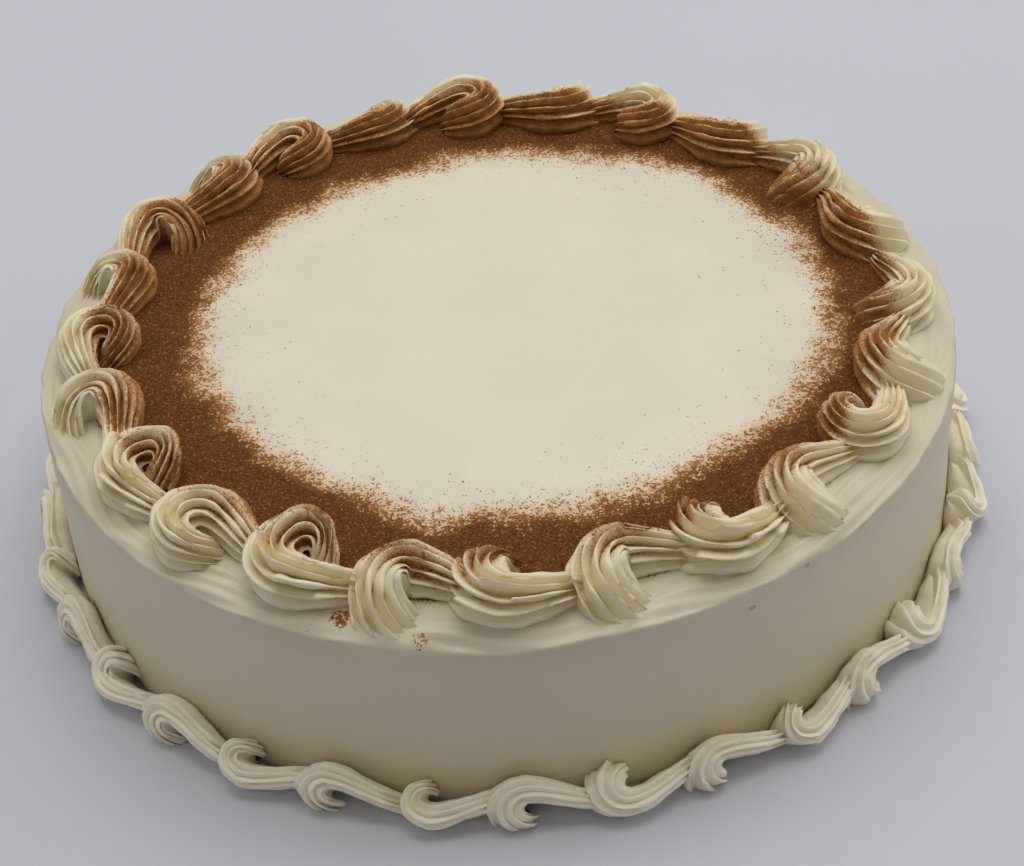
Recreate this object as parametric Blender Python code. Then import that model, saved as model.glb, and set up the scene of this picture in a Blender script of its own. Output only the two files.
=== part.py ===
"""Round iced cake with two piped borders of reverse shells.

The iced body is one turned solid. A ring of swirls is piped round the rim of its top, and a ring of
smaller ones fills the corner between its side and the surface it stands on. In each ring the swirls
curl by turns from the outer and from the inner side, and each one starts on the tail of the last.

Units are metres, +Z is up, and the origin is the middle of the flat underside. The front is -Y, and
both rings run anticlockwise seen from above.
"""
import math
import random

import bmesh
import bpy

# Driving dimensions of the iced body
CAKE_RADIUS = 0.1165
CAKE_HEIGHT = 0.0510
SIDE_TAPER = 0.0006
RIM_RADIUS = 0.0006
CAKE_SIDES = 80
RIM_STEPS = 2
# Outside the border the top slopes to a crisp lip, which hangs lowest a little left of the front.
LIP_START_RADIUS = 0.1085
LIP_DROP = 0.0016
LIP_FRONT_DROP = 0.0016
LIP_CURVE = 2.4
LIP_FRONT_ANGLE = math.radians(-94.0)
LIP_FRONT_SPREAD = math.radians(21.0)
LIP_STEPS = 3

# Driving dimensions of the border on the top
TOP_RING_RADIUS = 0.1025
TOP_SWIRLS = 24
TOP_FIRST_ANGLE = math.radians(-117.0)
TOP_HALF_WIDTH = 0.0074
TOP_SWIRL_HEIGHT = 0.0130
TOP_PIVOT_OFFSET = 0.0022
TOP_RIDGES = 5
# Where the swirls draw together: the shift, its centre and its spread, all in degrees
CROWDINGS = ((-6.5, -35.0, 45.0), (-2.0, -84.0, 12.0), (-3.5, 2.0, 15.0), (-2.0, 180.0, 25.0))
# Counted from the first one, these swirls curl most of the way round, and the rest fan out.
FULL_CURL_SWIRLS = (0, 6, 12, 14, 16, 20, 22, 23)

# Driving dimensions of the border at the foot
FOOT_SWIRLS = 34
FOOT_FIRST_ANGLE = math.radians(-90.5)
FOOT_REACH = 0.0096
FOOT_RISE = 0.0135
FOOT_HALF_WIDTH = 0.0049
FOOT_SWIRL_HEIGHT = 0.0048
FOOT_PIVOT_OFFSET = 0.0014
FOOT_SIDE_MARGIN = 0.0001
FOOT_LIFT_HEIGHT = 0.0016
FOOT_CORE_SIZE = 0.0028
FOOT_RIDGES = 4
FOOT_FULL_CURL_SWIRLS = (3, 7, 15, 23, 27, 31, 33)

# The rope of icing, as shares of its half width and height
EYE_RADIUS = 0.0009
GROOVE_DEPTH = 0.27
ROPE_FOOT_SHARE = 0.80
ROPE_WAIST_SHARE = 0.38
ROPE_OVERHANG = math.radians(14.0)
TAIL_START_WIDTH = 0.80
TOP_TAIL_END_WIDTH = 0.40
FOOT_TAIL_END_WIDTH = 0.60
TAIL_START_HEIGHT = 0.90
TAIL_END_HEIGHT = 0.32
TAIL_LENGTH_SHARE = 0.75
TOP_TAIL_CROSSING = 0.0
FOOT_TAIL_CROSSING = 0.35
FAN_START_TURN = math.radians(102.0)
CURL_START_TURN = math.radians(45.0)
FAN_START_WIDTH = 1.0
CURL_START_WIDTH = 0.66
HEAD_ROLL_SPAN = math.radians(62.0)
FAN_SWEEP = math.radians(135.0)
CURL_SWEEP = math.radians(75.0)
HEAD_LEAN = math.radians(25.0)
TURN_STEP = math.radians(27.0)
TAIL_STEPS = 2

# Evenness of the piping
SIZE_SPREAD = 0.06
SEED = 24
GAP = 0.0003
SINK = 0.0006
SINK_STEP = 0.0002
TRIM_DEPTH = 0.0100
CORE_SEGMENTS = 60
CORE_HALF_WIDTH = 0.0025
CORE_HEIGHT = 0.0020
CORE_LEDGE = 0.0006
SHARP_ANGLE = math.radians(40.0)
MERGE_DISTANCE = 0.00001
TOP_SOLVER = "EXACT"
# The swirls at the foot meet in the corner in ways that only this solver joins into one solid.
FOOT_SOLVER = "MANIFOLD"

ICING_COLOUR = (0.80, 0.72, 0.56, 1.0)
PIPING_COLOUR = (0.86, 0.79, 0.62, 1.0)
ICING_ROUGHNESS = 0.55


def clear_scene():
    """Remove every object of the scene."""
    for old in list(bpy.data.objects):
        bpy.data.objects.remove(old, do_unlink=True)


def icing(name, colour):
    """Return a plain matt icing material."""
    material = bpy.data.materials.new(name)
    material.use_nodes = True
    shader = material.node_tree.nodes["Principled BSDF"]
    shader.inputs["Base Color"].default_value = colour
    shader.inputs["Roughness"].default_value = ICING_ROUGHNESS
    shader.inputs["Metallic"].default_value = 0.0
    return material


def object_from_bmesh(shape, name):
    """Give the shape outward faces and put it in the scene as one object."""
    bmesh.ops.recalc_face_normals(shape, faces=shape.faces)
    mesh = bpy.data.meshes.new(name)
    shape.to_mesh(mesh)
    shape.free()
    body = bpy.data.objects.new(name, mesh)
    bpy.context.scene.collection.objects.link(body)
    return body


def turned_solid(name, profile, segments):
    """Spin an open profile of (radius, height) points round the Z axis into a closed solid."""
    shape = bmesh.new()
    points = [shape.verts.new((radius, 0.0, height)) for radius, height in profile]
    edges = [shape.edges.new(pair) for pair in zip(points, points[1:])]
    bmesh.ops.spin(
        shape,
        geom=points + edges,
        cent=(0.0, 0.0, 0.0),
        axis=(0.0, 0.0, 1.0),
        angle=math.tau,
        steps=segments,
    )
    bmesh.ops.remove_doubles(shape, verts=shape.verts, dist=MERGE_DISTANCE)
    return object_from_bmesh(shape, name)


def cake_profile(grown, foot):
    """Return the body's outline, grown by an offset, from its foot to the middle of its top."""
    radius = CAKE_RADIUS + grown
    height = CAKE_HEIGHT + grown
    profile = [(0.0, foot), (radius + SIDE_TAPER, foot)]
    for step in range(RIM_STEPS + 1):
        angle = math.radians(90.0) * step / RIM_STEPS
        rim_radius = radius - RIM_RADIUS * (1.0 - math.cos(angle))
        profile.append((rim_radius, height - RIM_RADIUS * (1.0 - math.sin(angle))))
    lip_width = radius - RIM_RADIUS - LIP_START_RADIUS
    for step in range(1, LIP_STEPS + 1):
        profile.append((radius - RIM_RADIUS - lip_width * step / LIP_STEPS, height))
    profile.append((0.0, height))
    return profile


def lip_drop(radius, angle):
    """Return how far the lip hangs below the level of the top."""
    share = (radius - LIP_START_RADIUS) / (CAKE_RADIUS - LIP_START_RADIUS)
    share = min(max(share, 0.0), 1.0)
    offset = math.remainder(angle - LIP_FRONT_ANGLE, math.tau) / LIP_FRONT_SPREAD
    return share ** LIP_CURVE * (LIP_DROP + LIP_FRONT_DROP * math.exp(-offset * offset))


def cake_body(name, grown, foot):
    """Return the iced body with its lip, grown by an offset, and with its foot at a height."""
    body = turned_solid(name, cake_profile(grown, foot), CAKE_SIDES)
    for vertex in body.data.vertices:
        point = vertex.co
        if point.z > CAKE_HEIGHT / 2.0:
            point.z -= lip_drop(math.hypot(point.x, point.y), math.atan2(point.y, point.x))
    return body


def rope_outline(ridges):
    """Return the rope's ridged section, from its outer foot over the top to its inner foot.

    Across, it runs from -1 to 1, and up from 0 to 1. The foot is narrower than the waist.
    """
    outline = [(ROPE_FOOT_SHARE, 0.0)]
    spacing = (math.pi + 2.0 * ROPE_OVERHANG) / (2 * (ridges - 1))
    for step in range(2 * ridges - 1):
        angle = step * spacing - ROPE_OVERHANG
        reach = 1.0 if step % 2 == 0 else 1.0 - GROOVE_DEPTH
        across = reach * math.cos(angle)
        up = ROPE_WAIST_SHARE + (1.0 - ROPE_WAIST_SHARE) * reach * math.sin(angle)
        outline.append((across, up))
    outline.append((-ROPE_FOOT_SHARE, 0.0))
    return outline


def smooth_step(share):
    """Ease a share from 0 to 1."""
    share = min(max(share, 0.0), 1.0)
    return share * share * (3.0 - 2.0 * share)


def head_section(outline, turn, start, size):
    """Return one section of the curl as (along, aside, up) points about the curl's eye.

    The curl begins flat on the surface, with its ridges fanned out round the eye, and its
    sections roll upright as it turns.
    """
    grown = smooth_step((turn - start) / math.radians(90.0))
    slimmed = smooth_step((turn - start) / (math.pi - start))
    half_width = size["half_width"] * (size["start_width"] + (1.0 - size["start_width"]) * grown)
    half_width *= 1.0 - (1.0 - TAIL_START_WIDTH) * slimmed
    height = size["height"] * (1.0 - (1.0 - TAIL_START_HEIGHT) * slimmed)
    middle = EYE_RADIUS + half_width
    roll = math.radians(90.0) * max(0.0, 1.0 - (turn - start) / HEAD_ROLL_SPAN)
    section = []
    for across, up in outline:
        radius = middle + half_width * across
        fanned = size["sweep"] * (1.0 - across) / 2.0 + HEAD_LEAN * up
        bearing = turn - fanned * math.sin(roll)
        along = -radius * math.sin(bearing)
        aside = size["pivot_offset"] + radius * math.cos(bearing)
        section.append((along, aside, height * up * math.cos(roll)))
    return section


def tail_section(outline, share, size):
    """Return one section of the tail, which slims down under the next swirl."""
    half_width = TAIL_START_WIDTH + (size["tail_width"] - TAIL_START_WIDTH) * share
    half_width *= size["half_width"]
    height = TAIL_START_HEIGHT + (TAIL_END_HEIGHT - TAIL_START_HEIGHT) * share
    height *= size["height"]
    start_aside = size["pivot_offset"] - EYE_RADIUS - TAIL_START_WIDTH * size["half_width"]
    middle = start_aside * (1.0 - (1.0 + size["crossing"]) * smooth_step(share))
    along = size["length"] * share
    return [(along, middle - half_width * across, height * up) for across, up in outline]


def swirl_sections(ridges, size):
    """Return the sections of one swirl, from the start of its curl to the end of its tail."""
    outline = rope_outline(ridges)
    start = size["start_turn"]
    steps = math.ceil((math.pi - start) / TURN_STEP)
    sections = []
    for step in range(steps + 1):
        turn = start + (math.pi - start) * step / steps
        sections.append(head_section(outline, turn, start, size))
    for step in range(1, TAIL_STEPS + 1):
        sections.append(tail_section(outline, step / TAIL_STEPS, size))
    return sections


def swirl_object(name, sections, place):
    """Skin the sections into one closed solid, with each point moved by the place function."""
    shape = bmesh.new()
    rows = [[shape.verts.new(place(*point)) for point in section] for section in sections]
    count = len(rows[0])
    for row, following in zip(rows, rows[1:]):
        for index in range(count):
            beside = (index + 1) % count
            shape.faces.new((row[index], row[beside], following[beside], following[index]))
    shape.faces.new(rows[0])
    shape.faces.new(rows[-1])
    bmesh.ops.triangulate(shape, faces=shape.faces)
    return object_from_bmesh(shape, name)


def on_top(angle, side, sink):
    """Return the function that lays a swirl's points on the top, with its curl on the side given."""
    base = CAKE_HEIGHT + GAP - sink

    def place(along, aside, up):
        bearing = angle + along / TOP_RING_RADIUS
        radius = TOP_RING_RADIUS + side * aside
        height = base + up - lip_drop(radius, bearing)
        return radius * math.cos(bearing), radius * math.sin(bearing), height

    return place


def at_foot(angle, side, sink):
    """Return the function that lays a swirl's points in the corner at the foot of the side.

    The rope leans on a slope from the side down to the ground, and its foot reaches into the
    corner behind that slope.
    """
    wall = CAKE_RADIUS + SIDE_TAPER + GAP
    ring_radius = wall + FOOT_REACH / 2.0
    widest = EYE_RADIUS + 2.0 * FOOT_HALF_WIDTH * (1.0 + SIZE_SPREAD) - FOOT_PIVOT_OFFSET
    widest += FOOT_SIDE_MARGIN
    slope_length = math.hypot(FOOT_REACH, FOOT_RISE)

    def place(along, aside, up):
        bearing = angle + along / ring_radius
        down = (1.0 + side * aside / widest) / 2.0
        lifted = min(1.0, up / FOOT_LIFT_HEIGHT)
        corner_out = FOOT_REACH * max(0.0, 2.0 * down - 1.0) - sink
        corner_high = FOOT_RISE * max(0.0, 1.0 - 2.0 * down) - sink
        out = corner_out + (FOOT_REACH * down - corner_out) * lifted
        high = corner_high + (FOOT_RISE * (1.0 - down) - corner_high) * lifted
        radius = wall + out + up * FOOT_RISE / slope_length
        height = high + up * FOOT_REACH / slope_length
        return radius * math.cos(bearing), radius * math.sin(bearing), height

    return place


def crowded(angle):
    """Shift an even angle to where the piping has it."""
    shift = 0.0
    for size, centre, spread in CROWDINGS:
        offset = math.remainder(angle - math.radians(centre), math.tau) / math.radians(spread)
        shift += math.radians(size) * math.exp(-offset * offset)
    return angle + shift


def swirl_size(draw, half_width, height, tail_width, full_curl):
    """Return one swirl's sizes, a little larger or smaller than the last one's."""
    scale = 1.0 + draw.uniform(-SIZE_SPREAD, SIZE_SPREAD)
    return {
        "half_width": half_width * scale,
        "height": height * scale,
        "tail_width": tail_width,
        "sweep": CURL_SWEEP if full_curl else FAN_SWEEP,
        "start_turn": CURL_START_TURN if full_curl else FAN_START_TURN,
        "start_width": CURL_START_WIDTH if full_curl else FAN_START_WIDTH,
    }


def apply_modifiers(body):
    """Replace the body's mesh with what its modifiers make of it."""
    bpy.context.view_layer.update()
    evaluated = body.evaluated_get(bpy.context.evaluated_depsgraph_get())
    result = bpy.data.meshes.new_from_object(evaluated)
    body.modifiers.clear()
    body.data = result


def cut_away(body, cutter, solver):
    """Take the cutter's volume off the body, and remove the cutter."""
    cutter.hide_render = True
    cutter.display_type = "WIRE"
    trim = body.modifiers.new("trim", "BOOLEAN")
    trim.operation = "DIFFERENCE"
    trim.object = cutter
    trim.solver = solver
    apply_modifiers(body)
    bpy.data.objects.remove(cutter, do_unlink=True)


def ground():
    """Return a slab just below the surface that the cake stands on."""
    edge = CAKE_RADIUS + FOOT_REACH + 2.0 * FOOT_SWIRL_HEIGHT
    profile = [(0.0, -TRIM_DEPTH), (edge, -TRIM_DEPTH), (edge, 0.0), (0.0, 0.0)]
    return turned_solid("ground", profile, CORE_SEGMENTS)


def join_by_union(core, swirls, solver):
    """Join the swirls and their core into one solid, and remove the swirls."""
    group = bpy.data.collections.new(core.name + "_swirls")
    for swirl in swirls:
        bpy.context.scene.collection.objects.unlink(swirl)
        group.objects.link(swirl)
    union = core.modifiers.new("union", "BOOLEAN")
    union.operation = "UNION"
    union.operand_type = "COLLECTION"
    union.collection = group
    union.solver = solver
    apply_modifiers(core)
    for swirl in swirls:
        bpy.data.objects.remove(swirl, do_unlink=True)
    bpy.data.collections.remove(group)


def finish(body, material):
    """Give the body its material and smooth shading that keeps the ridges."""
    body.data.materials.clear()
    body.data.materials.append(material)
    body.data.shade_smooth()
    body.data.set_sharp_from_angle(angle=SHARP_ANGLE)


def make_cake(material):
    """Make the iced body."""
    finish(cake_body("cake", 0.0, 0.0), material)


def make_top_border(material):
    """Make the ring of swirls round the rim of the top.

    The swirls sink a little past the surface they lie on, and one cut fits their feet to it.
    """
    base = CAKE_HEIGHT + GAP - SINK
    inner = TOP_RING_RADIUS - CORE_HALF_WIDTH
    outer = TOP_RING_RADIUS + CORE_HALF_WIDTH
    profile = [
        (inner, base),
        (outer, base),
        (outer - CORE_LEDGE, base + CORE_HEIGHT),
        (inner + CORE_LEDGE, base + CORE_HEIGHT),
        (inner, base),
    ]
    core = turned_solid("top_border", profile, CORE_SEGMENTS)
    draw = random.Random(SEED)
    pitch = math.tau / TOP_SWIRLS
    length = TAIL_LENGTH_SHARE * pitch * TOP_RING_RADIUS
    swirls = []
    for index in range(TOP_SWIRLS):
        full_curl = index in FULL_CURL_SWIRLS
        size = swirl_size(draw, TOP_HALF_WIDTH, TOP_SWIRL_HEIGHT, TOP_TAIL_END_WIDTH, full_curl)
        size.update(pivot_offset=TOP_PIVOT_OFFSET, length=length, crossing=TOP_TAIL_CROSSING)
        side = -1.0 if index % 2 == 0 else 1.0
        sink = SINK + SINK_STEP * (1.0 + index % 2)
        place = on_top(crowded(TOP_FIRST_ANGLE + pitch * index), side, sink)
        swirls.append(swirl_object(f"top_swirl_{index}", swirl_sections(TOP_RIDGES, size), place))
    join_by_union(core, swirls, TOP_SOLVER)
    cut_away(core, cake_body("cutter", GAP, -TRIM_DEPTH), TOP_SOLVER)
    finish(core, material)


def make_foot_border(material):
    """Make the ring of small swirls in the corner at the foot of the side."""
    wall = CAKE_RADIUS + SIDE_TAPER + GAP
    profile = [
        (wall - SINK, -SINK),
        (wall + FOOT_CORE_SIZE, -SINK),
        (wall - SINK, FOOT_CORE_SIZE),
        (wall - SINK, -SINK),
    ]
    core = turned_solid("foot_border", profile, CORE_SEGMENTS)
    draw = random.Random(SEED)
    pitch = math.tau / FOOT_SWIRLS
    length = TAIL_LENGTH_SHARE * pitch * (wall + FOOT_REACH / 2.0)
    swirls = []
    for index in range(FOOT_SWIRLS):
        full_curl = index in FOOT_FULL_CURL_SWIRLS
        size = swirl_size(draw, FOOT_HALF_WIDTH, FOOT_SWIRL_HEIGHT, FOOT_TAIL_END_WIDTH, full_curl)
        size.update(pivot_offset=FOOT_PIVOT_OFFSET, length=length, crossing=FOOT_TAIL_CROSSING)
        side = 1.0 if index % 2 == 0 else -1.0
        sink = SINK + SINK_STEP * (1.0 + index % 2)
        place = at_foot(FOOT_FIRST_ANGLE + pitch * index, side, sink)
        swirls.append(swirl_object(f"foot_swirl_{index}", swirl_sections(FOOT_RIDGES, size), place))
    join_by_union(core, swirls, FOOT_SOLVER)
    cut_away(core, cake_body("cutter", GAP, -TRIM_DEPTH), FOOT_SOLVER)
    cut_away(core, ground(), FOOT_SOLVER)
    finish(core, material)


def main():
    """Build the whole cake."""
    clear_scene()
    smooth_icing = icing("smooth_icing", ICING_COLOUR)
    piped_icing = icing("piped_icing", PIPING_COLOUR)
    make_cake(smooth_icing)
    make_top_border(piped_icing)
    make_foot_border(piped_icing)


main()
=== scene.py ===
"""Looks of the iced pumpkin cake: its smooth icing, the two piped borders and the cinnamon."""

import math
import random

import bpy
import numpy as np
from bpy.props import FloatProperty, FloatVectorProperty, IntProperty, PointerProperty
from mathutils import Matrix, Vector


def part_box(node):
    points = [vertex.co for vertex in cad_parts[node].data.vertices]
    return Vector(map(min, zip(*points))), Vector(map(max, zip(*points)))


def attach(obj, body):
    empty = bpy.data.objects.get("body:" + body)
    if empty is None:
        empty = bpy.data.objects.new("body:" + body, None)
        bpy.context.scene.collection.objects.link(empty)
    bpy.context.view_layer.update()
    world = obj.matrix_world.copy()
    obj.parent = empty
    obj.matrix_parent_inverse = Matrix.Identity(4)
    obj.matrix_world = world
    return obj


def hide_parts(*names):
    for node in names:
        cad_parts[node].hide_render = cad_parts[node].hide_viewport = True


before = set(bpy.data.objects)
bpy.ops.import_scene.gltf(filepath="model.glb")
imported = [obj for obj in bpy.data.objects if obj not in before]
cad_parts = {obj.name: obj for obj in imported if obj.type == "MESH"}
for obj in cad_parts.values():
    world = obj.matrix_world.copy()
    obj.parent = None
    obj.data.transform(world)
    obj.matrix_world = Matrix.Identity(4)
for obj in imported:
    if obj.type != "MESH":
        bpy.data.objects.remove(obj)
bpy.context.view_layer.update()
CAKE_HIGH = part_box("cake")[1]

bl_info = {
    "name": "Iced Pumpkin Cake",
    "version": (1, 0, 0),
    "blender": (4, 5, 0),
    "location": "3D View > Sidebar > Cake",
    "description": "Builds the icing, the piped borders and the cinnamon of a round iced cake",
    "category": "Add Mesh",
}

# The swirls follow the solids: these are the same named sizes that the solids are built from.
TOP_SWIRLS = 24
TOP_FIRST_ANGLE = math.radians(-117.0)
# Where the swirls draw together: the shift, its centre and its spread, all in degrees
CROWDINGS = ((-6.5, -35.0, 45.0), (-2.0, -84.0, 12.0), (-3.5, 2.0, 15.0), (-2.0, 180.0, 25.0))
FULL_CURL_SWIRLS = (0, 6, 12, 14, 16, 20, 22, 23)
RAGGED_SWIRLS = (0, 2, 4, 22)
FOOT_SWIRLS = 34
FOOT_FULL_CURL_SWIRLS = (3, 7, 15, 23, 27, 31, 33)
FOOT_FIRST_ANGLE = math.radians(-90.5)
FOOT_SWIRL_HEIGHT = 0.0048
FOOT_PIVOT_OFFSET = 0.0014
FOOT_SIDE_MARGIN = 0.0001
FOOT_LIFT_HEIGHT = 0.0016
GAP = 0.0003
SINK = 0.0012
SIDE_TAPER = 0.0006
LIP_START_RADIUS = 0.1085
LIP_DROP = 0.0016
LIP_FRONT_DROP = 0.0016
LIP_CURVE = 2.4
LIP_FRONT_ANGLE = math.radians(-94.0)
LIP_FRONT_SPREAD = math.radians(21.0)
EYE_RADIUS = 0.0009
ROPE_FOOT_SHARE = 0.80
ROPE_WAIST_SHARE = 0.38
ROPE_OVERHANG = math.radians(14.0)
TAIL_START_WIDTH = 0.80
TOP_TAIL_END_WIDTH = 0.40
FOOT_TAIL_END_WIDTH = 0.60
TAIL_START_HEIGHT = 0.90
TAIL_END_HEIGHT = 0.32
TAIL_LENGTH_SHARE = 0.75
TOP_TAIL_CROSSING = 0.0
FOOT_TAIL_CROSSING = 0.35
FAN_START_TURN = math.radians(102.0)
CURL_START_TURN = math.radians(-60.0)
FOOT_CURL_START_TURN = math.radians(30.0)
FAN_START_WIDTH = 1.0
CURL_START_WIDTH = 0.42
FAN_ROLL_SPAN = math.radians(62.0)
CURL_ROLL_SPAN = math.radians(130.0)
FAN_GROWTH = math.radians(90.0)
CURL_GROWTH = math.radians(190.0)
FAN_SWEEP = math.radians(135.0)
CURL_SWEEP = math.radians(75.0)
HEAD_LEAN = math.radians(25.0)
FINGER_ANGLE = math.radians(20.0)
RIDGE_SHARPNESS = 0.95
# Radii of the fanned-out tips about the curl's eye, as shares of the rope's half width
FAN_MIDDLE_REACH = 1.14
FAN_REACH_SPREAD = 0.80
# How high the icing fills the inside of a fan, as a share of the rope's height
FAN_FILL = 0.85
SIZE_SPREAD = 0.06
SEED = 24

# Shares of the way round the rope's section: up from one foot, over the top, down, and underneath
SECTION_STOPS = (0.0, 0.04, 0.90, 0.94, 1.0)
HEAD_SHARE = 0.56

# What the settings for a length and for a colour have in common
LENGTH = {"subtype": "DISTANCE", "unit": "LENGTH"}
COLOUR = {"subtype": "COLOR", "size": 3}


class CakeBodySettings(bpy.types.PropertyGroup):
    """Sizes and colours of the smooth icing."""

    radius: FloatProperty(
        name="Radius",
        description="Radius of the iced body at its rim",
        default=CAKE_HIGH.x,
        **LENGTH,
    )
    height: FloatProperty(
        name="Height",
        description="Height of the smooth top above the surface that the cake stands on",
        default=CAKE_HIGH.z,
        **LENGTH,
    )
    colour: FloatVectorProperty(
        name="Icing colour",
        description="Colour of the smooth icing",
        default=(0.80, 0.74, 0.60),
        **COLOUR,
    )


class PipingSettings(bpy.types.PropertyGroup):
    """Sizes and colours of the piped borders."""

    top_ring_radius: FloatProperty(
        name="Top ring radius",
        description="Radius of the middle of the border on the top",
        default=0.1025,
        **LENGTH,
    )
    top_half_width: FloatProperty(
        name="Top rope half width",
        description="Half the width of the rope of icing in the border on the top",
        default=0.0074,
        **LENGTH,
    )
    top_swirl_height: FloatProperty(
        name="Top swirl height",
        description="Height of the swirls on the top",
        default=0.0130,
        **LENGTH,
    )
    top_ridges: IntProperty(
        name="Top ridges",
        description="Ridges that the nozzle leaves over the back of the rope on the top",
        default=9,
    )
    foot_half_width: FloatProperty(
        name="Foot rope half width",
        description="Half the width of the rope of icing in the border at the foot",
        default=0.0049,
        **LENGTH,
    )
    foot_reach: FloatProperty(
        name="Foot border reach",
        description="How far the border at the foot reaches out over the ground",
        default=0.0096,
        **LENGTH,
    )
    foot_rise: FloatProperty(
        name="Foot border rise",
        description="How far the border at the foot climbs up the side",
        default=0.0135,
        **LENGTH,
    )
    foot_ridges: IntProperty(
        name="Foot ridges",
        description="Ridges that the nozzle leaves over the back of the rope at the foot",
        default=6,
    )
    pivot_offset: FloatProperty(
        name="Curl offset",
        description="How far each swirl's curl on the top stands off the middle of its ring",
        default=0.0022,
        **LENGTH,
    )
    groove_depth: FloatProperty(
        name="Groove depth",
        description="Depth of the grooves, as a share of the rope's half width",
        default=0.50,
        subtype="FACTOR",
    )
    colour: FloatVectorProperty(
        name="Piping colour",
        description="Colour of the piped icing",
        default=(0.86, 0.79, 0.60),
        **COLOUR,
    )
    # Painted light: the border at the foot gets a lighter copy of the piping colour.
    foot_painted_light_colour: FloatVectorProperty(
        name="Foot piping colour",
        description="Colour of the lightened icing in the border at the foot",
        default=(0.96, 0.91, 0.77),
        **COLOUR,
    )


class CinnamonSettings(bpy.types.PropertyGroup):
    """Sizes and colours of the cinnamon band."""

    inner_radius: FloatProperty(
        name="Band inner radius",
        description="Radius at which the band of cinnamon fades out towards the middle",
        default=0.0790,
        **LENGTH,
    )
    shift: FloatProperty(
        name="Band shift",
        description="How far the bare middle stands off the cake's middle, to the right",
        default=0.0042,
        **LENGTH,
    )
    shift_back: FloatProperty(
        name="Band shift back",
        description="How far the bare middle stands off the cake's middle, to the back",
        default=0.0024,
        **LENGTH,
    )
    grain_size: FloatProperty(
        name="Grain size",
        description="Width of the largest grains",
        default=0.00050,
        **LENGTH,
    )
    grains: IntProperty(
        name="Grains",
        description="Number of loose grains on the top",
        default=15000,
    )
    dark: FloatVectorProperty(
        name="Dense colour",
        description="Colour of the band where it is thick",
        default=(0.140, 0.050, 0.0145),
        **COLOUR,
    )
    powder: FloatVectorProperty(
        name="Powder colour",
        description="Colour of icing that has fine cinnamon powder on it",
        default=(0.56, 0.235, 0.040),
        **COLOUR,
    )
    warm: FloatVectorProperty(
        name="Thin colour",
        description="Colour of the cinnamon where it is thin",
        default=(0.44, 0.192, 0.046),
        **COLOUR,
    )


class StageSettings(bpy.types.PropertyGroup):
    """Camera and floor."""

    distance: FloatProperty(
        name="Camera distance",
        description="Distance of the camera from the middle of the underside",
        default=0.5472,
        **LENGTH,
    )
    elevation: FloatProperty(
        name="Camera elevation",
        description="Angle of the camera above the horizon",
        default=math.radians(40.41),
        subtype="ANGLE",
        unit="ROTATION",
    )
    floor_colour: FloatVectorProperty(
        name="Floor colour",
        description="Colour of the floor",
        default=(0.615, 0.635, 0.725),
        **COLOUR,
    )


# Shaders


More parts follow.
